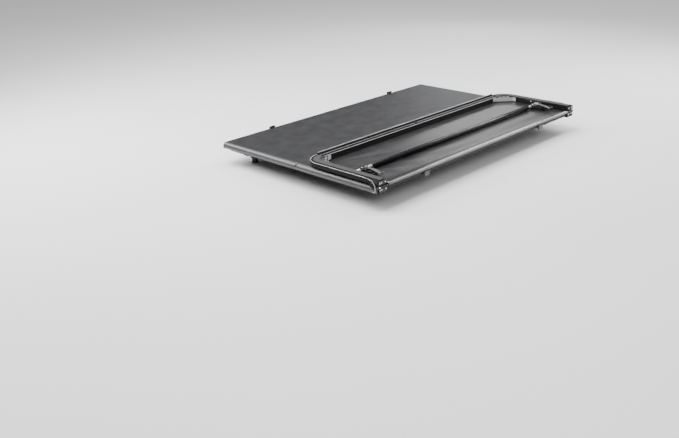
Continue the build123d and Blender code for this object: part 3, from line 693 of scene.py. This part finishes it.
def hinge_roll():
    """The roll of the rear panel's vinyl over the rear hinge, seen from the side: an arc
    round the hinge, then a slow run down to the folded panel's level. Points are (y, z)."""
    centre_y, centre_z = ROLL_CENTRE
    points = []
    for k in range(12):
        turn = math.radians(-144 + 22 * k)
        points.append((centre_y - ROLL_RADIUS * math.cos(turn),
                       centre_z + ROLL_RADIUS * math.sin(turn)))
    crest = centre_z + ROLL_RADIUS
    first, last = MIDDLE_END_Y - 0.003, MIDDLE_END_Y + 0.044
    for y in steps(first + 0.005, last, 0.0065):
        down = smooth_step(first, last, y)
        points.append((y, crest + (ROLL_LEVEL - crest) * down))
    return points


def build_rear_vinyl():
    """The rear panel's vinyl as it lies folded: the roll over the rear hinge, and the inner
    face stretched over the panel."""
    count = 120
    rows = []
    ends = HINGE_BLOCK_X - ROLL_INSET
    for y, z in hinge_roll():
        rows.append([Vector((-ends + 2 * ends * c / count, y, z)) for c in range(count + 1)])
    last_y = rows[-1][0].y
    for point, way in rear_outline():
        edge = point - way * EDGE
        if folded((0, edge.y, 0)).y < last_y + 0.008:
            continue
        row = []
        for c in range(count + 1):
            x = edge.x * (1 - 2 * c / count)
            inside = 1 - smooth_step(RAIL_INNER - 0.10, RAIL_INNER + 0.01, abs(x))
            tail = smooth_step(FLAT_TAIL_Y + 0.05, FLAT_TAIL_Y + 0.13, edge.y)
            hinge = 1 - smooth_step(FLAT_REAR_START_Y - 0.11, FLAT_REAR_START_Y - 0.05, edge.y)
            from_tube = (folded((0, edge.y, 0)).y - TUBE_Y) / TUBE_REACH
            held = 1 - TUBE_HOLD * math.exp(-from_tube * from_tube)
            lift = max(0.0, REAR_LIFT - under_relief(x, edge.y)) * held
            z = TOP - REAR_DROP - lift * inside * tail * hinge
            row.append(folded((x, edge.y, z)))
        rows.append(row)
    cover = grid_piece("rear_cover_vinyl", rows, MATERIALS["vinyl_under"], flat_uv(rows))
    cover.data.materials.append(MATERIALS["vinyl"])
    thicken(cover, SKIN, offset=1.0, second_face=1)
    apply_modifiers(cover)
    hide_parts("rear_vinyl")
    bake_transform(cover)


def build_rear_edge():
    """The rolled edge of the rear panel's vinyl, turned under its rails, with its welt: the edge takes the
    near-black vinyl as painted shade, and the welt a light grey as a painted highlight.
    """
    outline = [(p, w) for p, w in whole_outline(rear_outline())
               if folded((0, p.y, 0)).y > GUSSET_START_Y - 0.045]
    profile = side_profile(TURNED_LEVEL + TURNED_RADIUS)
    for k in range(1, 6):
        lean = math.pi / 2 * k / 5
        profile.append((SKIN_GAP - TURNED_RADIUS * (1 - math.cos(lean)),
                        TURNED_LEVEL + TURNED_RADIUS * (1 - math.sin(lean))))
    profile.append((SKIN_GAP - 0.008, TURNED_LEVEL))
    profile.append((SKIN_GAP - 0.0125, TURNED_LEVEL))
    rows = [[folded((point.x + way.x * out, point.y + way.y * out, z)) for out, z in profile]
            for point, way in outline]
    # painted shade: the turned edge takes the near-black copy of the vinyl
    edge = grid_piece("rear_cover_edge", rows, MATERIALS["vinyl_shade"], flat_uv(rows))
    thicken(edge, SKIN)
    apply_modifiers(edge)
    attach(edge, "rear_panel")
    path = [folded((point.x + way.x * 0.0004, point.y + way.y * 0.0004,
                    TURNED_LEVEL - 0.0002))
            for point, way in outline if folded((0, point.y, 0)).y > GUSSET_START_Y]
    # painted highlight: the light grey welt stands in for the bright line along the rolled edge
    welt = tube_piece("rear_edge_welt_painted_highlight", path, WELT_RADIUS, MATERIALS["welt"])
    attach(welt, "rear_panel")


def build_gusset(side_name, body):
    """The rounded end of one panel's side vinyl at the rear hinge: its welt curves to the
    hinge's level, and the strip inside the welt turns in to the groove. The strip is painted
    shade in the near-black vinyl, and the welt a painted highlight in light grey. The rear
    panel's and the middle panel's ends meet when the panels are folded together."""
    name = f"{body}_{side_name}"
    side = SIDES[side_name]
    upper = body == "rear_panel"
    x = HALF_WIDTH + 0.0022
    whole = smooth_path([(side * x, FRONT_Y - back / 1000, z / 1000)
                         for back, z in GUSSET_WELT], 8)
    if upper:
        welt_path = [p for p in whole if p.z > REAR_AXIS_Z + GUSSET_GAP]
        groove_z = REAR_AXIS_Z + GROOVE_RISE
    else:
        welt_path = [p for p in whole if p.z < REAR_AXIS_Z - GUSSET_GAP]
        groove_z = REAR_AXIS_Z - GROOVE_RISE
    rows = []
    for point in welt_path:
        groove = Vector((side * (HALF_WIDTH - 0.012), max(point.y, GUSSET_START_Y - 0.02) + 0.012,
                         groove_z))
        belly = (point + groove) / 2 + Vector((side * 0.005, 0, 0))
        rows.append([point * (1 - t) ** 2 + belly * 2 * t * (1 - t) + groove * t ** 2
                     for t in (k / 8 for k in range(9))])
    if side < 0:
        rows.reverse()
    # painted shade: the strip inside the welt takes the near-black copy of the vinyl, for the shaded hollow there
    strip = grid_piece(f"hinge_gusset_{name}", rows, MATERIALS["vinyl_shade"], flat_uv(rows))
    thicken(strip, SKIN, offset=0.0)
    apply_modifiers(strip)
    # painted highlight: the light grey welt stands in for the bright edge round the hinge's end
    welt = tube_piece(f"hinge_welt_{name}", welt_path, WELT_RADIUS, MATERIALS["welt"])
    for piece in (strip, welt):
        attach(piece, body)


def build_hem(name):
    """The matt backing strip under a tail corner, in line with the side rail's strip."""
    side = SIDES[name]
    centre = Vector((side * (HALF_WIDTH - TAIL_RADIUS), FLAT_TAIL_Y + TAIL_RADIUS, 0))
    rows = []
    for way in corner_ways(side):
        spot = centre + way * TAIL_RADIUS
        rows.append([folded((spot.x - way.x * inset, spot.y - way.y * inset, z))
                     for inset, z in ((0.0140, 0.0036), (0.0145, 0.0008), (0.018, 0.0004),
                                      (0.044, 0.0004), (0.0475, 0.0008), (0.048, 0.0036))])
    if side > 0:
        rows.reverse()
    hem = grid_piece(f"corner_hem_{name}", rows, MATERIALS["hem"], flat_uv(rows))
    thicken(hem, 0.0008)
    apply_modifiers(hem)
    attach(hem, "rear_panel")


# ------------------------------------------------------------------ rails, hinges and clamps
def build_tail_lines():
    """The lips along the tail rail, light grey as a painted highlight on the black rail, and the bead of its seal,
    a painted highlight in the welt's light grey.
    """
    low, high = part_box("tail_rail")
    top = high.z
    for name, near, wide, tall in (("tail_rail_inner_lip", low.y + 0.0006, 0.0036, 0.0016),
                                   ("tail_rail_middle_lip", low.y + 0.0315, 0.0030, 0.0010)):
        # painted highlight: each lip is light grey for a bright edge of the black rail
        lip = box_piece(name, (low.x + 0.004, near, top - 0.0008),
                        (high.x - 0.004, near + wide, top + tall), MATERIALS["rail_lip"], 0.0005)
        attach(lip, "rear_panel")
    seal_low, seal_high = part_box("tail_seal")
    middle_y = (seal_low.y + seal_high.y) / 2
    path = [(seal_low.x + 0.002, middle_y, seal_high.z),
            (seal_high.x - 0.002, middle_y, seal_high.z)]
    # painted highlight: the seal's bead takes the welt's light grey for the bright line along its top
    bead = tube_piece("tail_lip_bead_painted_highlight", path, 0.0026, MATERIALS["welt"])
    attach(bead, "rear_panel")


def ribbon(name, path, width, thickness, material):
    """A strip with rounded edges that follows a path of (x, y, z) in one plane of Y and Z."""
    rows = []
    across = Vector((1, 0, 0))
    half_w, half_t = width / 2, thickness / 2
    for k, point in enumerate(path):
        before = Vector(path[max(0, k - 1)])
        after = Vector(path[min(len(path) - 1, k + 1)])
        along = (after - before).normalized()
        up = across.cross(along)
        taper = 0.72 + 0.28 * math.sin(math.pi * min(1.0, (k + 0.6) / len(path)))
        ring = []
        for c in range(RIBBON_SIDES):
            turn = 2 * math.pi * c / RIBBON_SIDES
            a = math.copysign(abs(math.cos(turn)) ** 0.5, math.cos(turn)) * half_w * taper
            b = math.copysign(abs(math.sin(turn)) ** 0.7, math.sin(turn)) * half_t
            ring.append(Vector(point) + across * a + up * b)
        rows.append(ring)
    mesh = bpy.data.meshes.new(name)
    points = [tuple(p) for ring in rows for p in ring]
    faces = []
    for start in range(0, len(points) - RIBBON_SIDES, RIBBON_SIDES):
        for c in range(RIBBON_SIDES):
            d = (c + 1) % RIBBON_SIDES
            faces.append((start + c, start + d, start + RIBBON_SIDES + d,
                          start + RIBBON_SIDES + c))
    faces.append(tuple(reversed(range(RIBBON_SIDES))))
    faces.append(tuple(range(len(points) - RIBBON_SIDES, len(points))))
    mesh.from_pydata(points, [], faces)
    mesh.update()
    return add_object(name, mesh, material)


def smooth_path(points, count):
    """A smooth path through points, by Catmull-Rom pieces."""
    vectors = [Vector(p) for p in points]
    padded = [2 * vectors[0] - vectors[1]] + vectors + [2 * vectors[-1] - vectors[-2]]
    path = []
    for k in range(1, len(padded) - 2):
        p0, p1, p2, p3 = padded[k - 1:k + 3]
        for step in range(count):
            t = step / count
            path.append(0.5 * (2 * p1 + (p2 - p0) * t + (2 * p0 - 5 * p1 + 4 * p2 - p3) * t * t
                               + (3 * p1 - p0 - 3 * p2 + p3) * t ** 3))
    path.append(vectors[-1])
    return path


def build_clamp_lever(name):
    """The painted hand lever of a rear clamp: an S-curve with its tip turned up."""
    x, y0, z0 = joint(f"rear_lever_throw_{name}")["pos_m"]
    reach = y0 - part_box(f"rear_clamp_lever_{name}")[0].y
    places = [(0.02, 0.0015), (0.22, 0.001), (0.42, -0.001), (0.58, -0.003), (0.74, -0.0085),
              (0.84, -0.0085), (0.93, -0.004), (1.0, 0.0015)]
    path = smooth_path([(x, y0 - reach * share, z0 + rise) for share, rise in places], 6)
    # painted highlight: the lever's lightened grey stands in for its bright edges
    lever = ribbon(f"clamp_lever_shape_{name}", path, 0.0215, 0.0062, MATERIALS["lever_paint"])
    hub = tube_piece(f"clamp_lever_hub_{name}", [(x - 0.0148, y0, z0), (x + 0.0148, y0, z0)],
                     0.0048, MATERIALS["lever_paint"], sides=24)
    whole = joined(f"clamp_lever_{name}", [lever, hub])
    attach(whole, f"rear_lever_{name}")
    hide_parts(f"rear_clamp_lever_{name}")


def screw_head(name, place, way, radius, body):
    """A domed bright screw head that faces one way and rides on a body."""
    mesh = bpy.data.meshes.new(name)
    work = bmesh.new()
    bmesh.ops.create_uvsphere(work, u_segments=20, v_segments=10, radius=radius)
    turn = Vector((0, 0, 1)).rotation_difference(Vector(way)).to_matrix().to_4x4()
    for vertex in work.verts:
        vertex.co.z = max(-0.3 * radius, vertex.co.z * 0.62)
    bmesh.ops.transform(work, matrix=Matrix.Translation(place) @ turn, verts=work.verts[:])
    work.to_mesh(mesh)
    work.free()
    head = add_object(name, mesh, MATERIALS["screw_steel"])
    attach(head, body)


def build_hinge_screws(name):
    """The round screws of a rear hinge casting."""
    side = SIDES[name]
    back = REAR_AXIS_Y + HINGE_PLATE_FACE + 0.0002
    for label, inward, z, body in (("lower_edge", 0.005, 0.0225, "middle_panel"),
                                   ("lower_outer", 0.017, 0.0225, "middle_panel"),
                                   ("lower_inner", 0.046, 0.0230, "middle_panel"),
                                   ("upper_edge", 0.005, 0.0570, "rear_panel"),
                                   ("upper_outer", 0.017, 0.0570, "rear_panel"),
                                   ("upper_inner", 0.043, 0.0570, "rear_panel")):
        screw_head(f"hinge_screw_{label}_{name}", (side * (HINGE_BLOCK_X - inward), back, z),
                   (0, -1, 0), SCREW_RADIUS, body)


def build_clamp_screws(name):
    """Round screws on the hub of a rear clamp's arm and on the inner face of its saddle."""
    side = SIDES[name]
    low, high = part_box(f"rear_clamp_arm_{name}")
    hub_radius = high.y - TUBE_Y
    hub_z = joint(f"rear_arm_swing_{name}")["pos_m"][2]
    lean = math.radians(28)
    way = Vector((0, -math.sin(lean), math.cos(lean)))
    for label, across in (("inner", -0.014), ("outer", 0.014)):
        hub = Vector(((low.x + high.x) / 2 + side * across, TUBE_Y, hub_z))
        screw_head(f"clamp_screw_{label}_{name}", hub + way * hub_radius, way,
                   SCREW_RADIUS, f"rear_arm_{name}")
    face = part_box("tube_saddles")[1].x - SADDLE_THICKNESS
    for label, along, z in (("near", 0.017, 0.0610), ("far", 0.052, 0.0632)):
        screw_head(f"saddle_screw_{label}_{name}", (side * face, TUBE_Y + along, z),
                   (-side, 0, 0), 0.0030, "rear_panel")


def build_hinge_casting(name):
    """The rounded end plates of a rear hinge casting, one on each panel."""
    side = SIDES[name]
    for body, low, high in (("middle_panel", 0.006, 0.028), ("rear_panel", 0.046, 0.067)):
        plate = box_piece(f"hinge_end_plate_{body}_{name}",
                          (side * HINGE_BLOCK_X, REAR_AXIS_Y + HINGE_PLATE_FACE, low),
                          (side * (HINGE_BLOCK_X - HINGE_PLATE_WIDTH),
                           REAR_AXIS_Y + HINGE_PLATE_BACK, high),
                          MATERIALS["cast_bracket"], 0.0017, 4)
        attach(plate, body)


def build_side_seal_beads(name, node, body):
    """The bulb of the bed-cap seal that shows as fine ridges under the vinyl's skirt."""
    low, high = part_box(node)
    for label, side in SIDES.items():
        pieces = []
        for number, (out, z, radius) in enumerate(((0.0000, 0.0042, 0.0013),
                                                   (0.0008, 0.0014, 0.0013))):
            path = [(side * (HALF_WIDTH + out), high.y - 0.002, z),
                    (side * (HALF_WIDTH + out), low.y + 0.002, z)]
            pieces.append(tube_piece(f"bead_{number}", path, radius, MATERIALS["seal_rubber"]))
        beads = joined(f"{name}_{label}", pieces)
        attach(beads, body)


# ------------------------------------------------------------------ stage, light and camera
def build_stage():
    """A plain pale floor that the lowest knob just touches."""
    reach = 60.0
    mesh = bpy.data.meshes.new("floor")
    mesh.from_pydata([(-reach, -reach, FLOOR_Z), (reach, -reach, FLOOR_Z),
                      (reach, reach, FLOOR_Z), (-reach, reach, FLOOR_Z)], [], [(0, 1, 2, 3)])
    m = Material("pale_floor", (0.9, 0.9, 0.9), 0.9, specular=0.1).on("Object")
    m.colored(m.ramp(m.noise(0.6, 2), [(0.3, 0.89), (0.7, 0.92)]))
    floor = add_object("floor", mesh, m.material, smooth=False)


def area_light(name, place, target, size, power):
    """A soft rectangular light that faces a target."""
    data = bpy.data.lights.new(name, "AREA")
    data.shape = "RECTANGLE"
    data.size, data.size_y = size
    data.energy = power
    lamp = bpy.data.objects.new(name, data)
    lamp.location = place
    lamp.rotation_euler = (Vector(target) - Vector(place)).to_track_quat("-Z", "Y").to_euler()
    bpy.context.scene.collection.objects.link(lamp)


def build_lights():
    """Six softboxes that put the photograph's sheen on the vinyl, the roll and the tube."""
    middle = (0, -0.6, 0)
    area_light("top_softbox", (-0.8, 0.4, 4.2), middle, (3.5, 3.5), 330)
    area_light("left_softbox", (-1.9, 1.7, 1.75), (-0.86, -0.5, 0.02), (2.0, 1.0), 80)
    area_light("right_softbox", (3.0, -3.6, 0.75), (0.1, -1.15, 0.05), (2.4, 0.8), 24)
    area_light("right_high_softbox", (2.7, -1.3, 2.3), (-0.3, -1.2, 0.05), (0.35, 2.4), 80)
    area_light("far_softbox", (3.6, 1.6, 1.25), (0.1, -0.9, 0.04), (1.3, 0.7), 12)
    area_light("camera_fill", (-2.8, -4.2, 2.6), middle, (1.6, 1.6), 50)


def build_world():
    """A pale studio that is brighter above and to the right."""
    world = bpy.data.worlds.new("studio")
    world.use_nodes = True
    tree = world.node_tree
    backdrop = tree.nodes["Background"]
    place = tree.nodes.new("ShaderNodeTexCoord")
    split = tree.nodes.new("ShaderNodeSeparateXYZ")
    tree.links.new(place.outputs["Generated"], split.inputs["Vector"])
    height = tree.nodes.new("ShaderNodeMapRange")
    tree.links.new(split.outputs["Z"], height.inputs["Value"])
    set_range(height, (0.20, 0.75), (0.14, 1.05))
    toward = tree.nodes.new("ShaderNodeVectorMath")
    toward.operation = "DOT_PRODUCT"
    tree.links.new(place.outputs["Generated"], toward.inputs[0])
    toward.inputs[1].default_value = (0.985, -0.174, 0)
    bright_side = tree.nodes.new("ShaderNodeMapRange")
    tree.links.new(toward.outputs["Value"], bright_side.inputs["Value"])
    set_range(bright_side, (0.40, 0.70), (0.55, 1.4))
    amount = tree.nodes.new("ShaderNodeMath")
    amount.operation = "MULTIPLY"
    tree.links.new(height.outputs["Result"], amount.inputs[0])
    tree.links.new(bright_side.outputs["Result"], amount.inputs[1])
    tree.links.new(amount.outputs["Value"], backdrop.inputs["Strength"])
    backdrop.inputs["Color"].default_value = (1, 1, 1, 1)
    bpy.context.scene.world = world


def build_camera():
    """A camera from behind the driver's side and above, with the picture's framing."""
    place = Vector((-3.5246, -3.6861, 1.3992))
    target = Vector((-1.1317, -1.3171, 0.03))
    roll = 0.0386
    data = bpy.data.cameras.new("camera")
    data.sensor_width = 36
    data.lens = 44.384
    data.shift_x = -0.0347
    data.shift_y = -0.0062
    data.clip_end = 200
    camera = bpy.data.objects.new("camera", data)
    forward = (target - place).normalized()
    right = forward.cross(Vector((0, 0, 1))).normalized()
    down = forward.cross(right)
    turned_right = math.cos(roll) * right + math.sin(roll) * down
    turned_down = -math.sin(roll) * right + math.cos(roll) * down
    axes = Matrix((turned_right, -turned_down, -forward)).transposed()
    camera.matrix_world = Matrix.Translation(place) @ axes.to_4x4()
    bpy.context.scene.collection.objects.link(camera)
    bpy.context.scene.camera = camera


build_camera()
build_lights()
build_world()
build_stage()
dress_cad_nodes()
build_front_vinyl()
build_middle_vinyl()
build_rear_vinyl()
build_rear_edge()
build_tail_lines()
for each_side in SIDES:
    build_hem(each_side)
    build_gusset(each_side, "rear_panel")
    build_gusset(each_side, "middle_panel")
for each_side in SIDES:
    build_clamp_lever(each_side)
    build_hinge_casting(each_side)
    build_hinge_screws(each_side)
    build_clamp_screws(each_side)
build_side_seal_beads("front_seal_beads", "front_side_seals", "front_panel")
build_side_seal_beads("middle_seal_beads", "middle_side_seals", "middle_panel")
